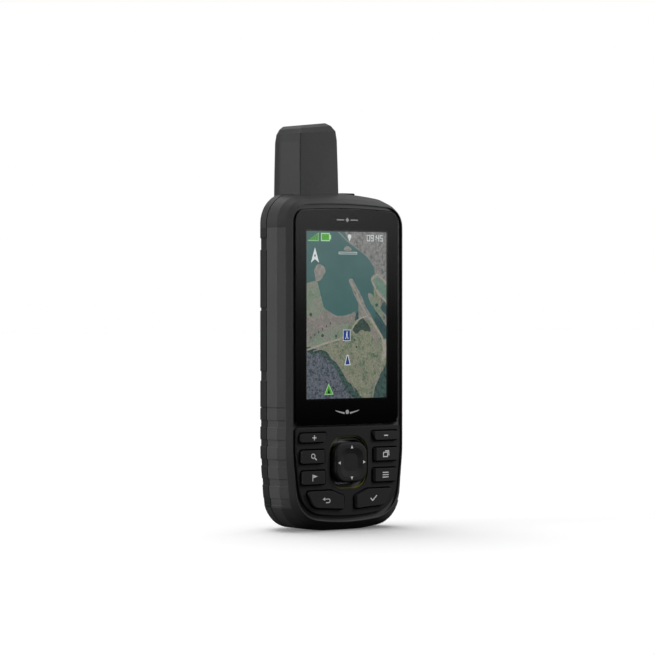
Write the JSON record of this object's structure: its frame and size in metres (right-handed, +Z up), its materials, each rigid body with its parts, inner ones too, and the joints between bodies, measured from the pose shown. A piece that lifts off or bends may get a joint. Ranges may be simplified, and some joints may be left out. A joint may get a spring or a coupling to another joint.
{
  "type": "portable aviation gps",
  "caption": "Rugged handheld GPS with a tall colour screen, rocker keypad, antenna stub, ribbed rubber sides and a ring-latched battery door.",
  "frame": {"origin": "centre of the unit's box at its foot, on the small flat it stands on", "axes": "+X to the right of someone facing the screen, +Y from the screen to the back, +Z up towards the antenna"},
  "size_m": [0.062, 0.035, 0.16],
  "materials": {
    "housing": "moulded, fine spark-eroded texture",
    "panel": "satin moulded",
    "grip": "soft-touch overmould",
    "seal": "matt silicone",
    "key": "satin silicone with printed marks",
    "accent": "olive trim",
    "glass": "clear, black printed border",
    "display": "lit colour display",
    "clear": "clear",
    "white_plastic": "plain",
    "black_plastic": "plain",
    "board": "green solder mask",
    "tin": "tin plate",
    "steel": "stainless",
    "screw": "black oxide",
    "copper": "bare copper",
    "gold": "gold flash",
    "cell": "printed steel sleeve"
  },
  "bodies": {
    "root": {"front_housing": "housing", "rear_housing": "housing", "housing_gasket": "seal", "front_grip_left": "grip", "front_grip_right": "grip", "rear_grip_left": "grip", "rear_grip_right": "grip", "screen_lens": "glass", "lens_adhesive": "seal", "display_panel": "display", "display_backlight": "white_plastic", "keypad_panel": "panel", "keypad_web": "seal", "dome_sheet": "steel", "dpad_ring": "accent", "main_board": "board", "shield_cans": "tin", "board_screws": "steel", "buzzer": "black_plastic", "antenna_cover": "housing", "antenna_former": "white_plastic", "antenna_windings": "copper", "antenna_board": "board", "antenna_coax": "black_plastic", "connector_board": "board", "usb_socket": "tin", "antenna_jack": "gold", "torch_lens": "clear", "torch_reflector": "tin", "torch_led": "white_plastic", "vent_membrane": "white_plastic", "power_switch": "black_plastic", "card_socket": "tin", "memory_card": "black_plastic", "battery_cells": "cell", "battery_contacts": "tin", "battery_springs": "steel", "housing_screws": "screw", "door_gasket": "seal", "cap_pins": "steel"},
    "key_zoom_in": {"key_zoom_in": "key"},
    "key_zoom_out": {"key_zoom_out": "key"},
    "key_find": {"key_find": "key"},
    "key_page": {"key_page": "key"},
    "key_mark": {"key_mark": "key"},
    "key_menu": {"key_menu": "key"},
    "key_back": {"key_back": "key"},
    "key_select": {"key_select": "key"},
    "rocker": {"dpad": "key"},
    "rocker_cross": {"dpad_cross": "black_plastic"},
    "power_button": {"power_button": "key"},
    "usb_cap": {"usb_cap": "seal"},
    "jack_cap": {"jack_cap": "seal"},
    "battery_door": {"battery_door": "housing", "mounting_spine": "panel", "spine_screws": "screw"},
    "latch": {"latch_stud": "tin", "latch_clip": "steel"},
    "ring": {"d_ring": "steel"}
  },
  "joints": [
    {"name": "key_zoom_in_press", "type": "slide", "parent": "root", "child": "key_zoom_in", "axis": [0, 1, 0], "range_m": [0, 0.0005], "stiffness_N_per_m": 600, "springref_m": -0.0005},
    {"name": "key_zoom_out_press", "type": "slide", "parent": "root", "child": "key_zoom_out", "axis": [0, 1, 0], "range_m": [0, 0.0005], "stiffness_N_per_m": 600, "springref_m": -0.0005},
    {"name": "key_find_press", "type": "slide", "parent": "root", "child": "key_find", "axis": [0, 1, 0], "range_m": [0, 0.0005], "stiffness_N_per_m": 600, "springref_m": -0.0005},
    {"name": "key_page_press", "type": "slide", "parent": "root", "child": "key_page", "axis": [0, 1, 0], "range_m": [0, 0.0005], "stiffness_N_per_m": 600, "springref_m": -0.0005},
    {"name": "key_mark_press", "type": "slide", "parent": "root", "child": "key_mark", "axis": [0, 1, 0], "range_m": [0, 0.0005], "stiffness_N_per_m": 600, "springref_m": -0.0005},
    {"name": "key_menu_press", "type": "slide", "parent": "root", "child": "key_menu", "axis": [0, 1, 0], "range_m": [0, 0.0005], "stiffness_N_per_m": 600, "springref_m": -0.0005},
    {"name": "key_back_press", "type": "slide", "parent": "root", "child": "key_back", "axis": [0, 1, 0], "range_m": [0, 0.0005], "stiffness_N_per_m": 600, "springref_m": -0.0005},
    {"name": "key_select_press", "type": "slide", "parent": "root", "child": "key_select", "axis": [0, 1, 0], "range_m": [0, 0.0005], "stiffness_N_per_m": 600, "springref_m": -0.0005},
    {"name": "rocker_up_down", "type": "hinge", "parent": "root", "child": "rocker_cross", "pos_m": [0, -0.0131, 0.0267], "axis": [1, 0, 0], "range_deg": [-3.5, 3.5], "stiffness_Nm_per_rad": 0.05},
    {"name": "rocker_left_right", "type": "hinge", "parent": "rocker_cross", "child": "rocker", "pos_m": [0, -0.0131, 0.0267], "axis": [0, 0, 1], "range_deg": [-3.5, 3.5], "stiffness_Nm_per_rad": 0.05},
    {"name": "power_press", "type": "slide", "parent": "root", "child": "power_button", "axis": [0, 0, -1], "range_m": [0, 0.0004], "stiffness_N_per_m": 800, "springref_m": -0.0005},
    {"name": "usb_cap_hinge", "type": "hinge", "parent": "root", "child": "usb_cap", "pos_m": [-0.016, 0.0134, 0.104], "axis": [0, 0, 1], "range_deg": [0, 110]},
    {"name": "jack_cap_hinge", "type": "hinge", "parent": "root", "child": "jack_cap", "pos_m": [0.0176, 0.0134, 0.104], "axis": [0, 0, -1], "range_deg": [0, 110]},
    {"name": "battery_door_hinge", "type": "hinge", "parent": "root", "child": "battery_door", "pos_m": [0, 0.01298, 0.0907], "axis": [1, 0, 0], "range_deg": [0, 60]},
    {"name": "latch_turn", "type": "hinge", "parent": "battery_door", "child": "latch", "pos_m": [0, 0.014, 0.017], "axis": [0, 1, 0], "range_deg": [0, 90]},
    {"name": "ring_fold", "type": "hinge", "parent": "latch", "child": "ring", "pos_m": [0, 0.0159, 0.017], "axis": [-1, 0, 0], "range_deg": [0, 90]}
  ]
}
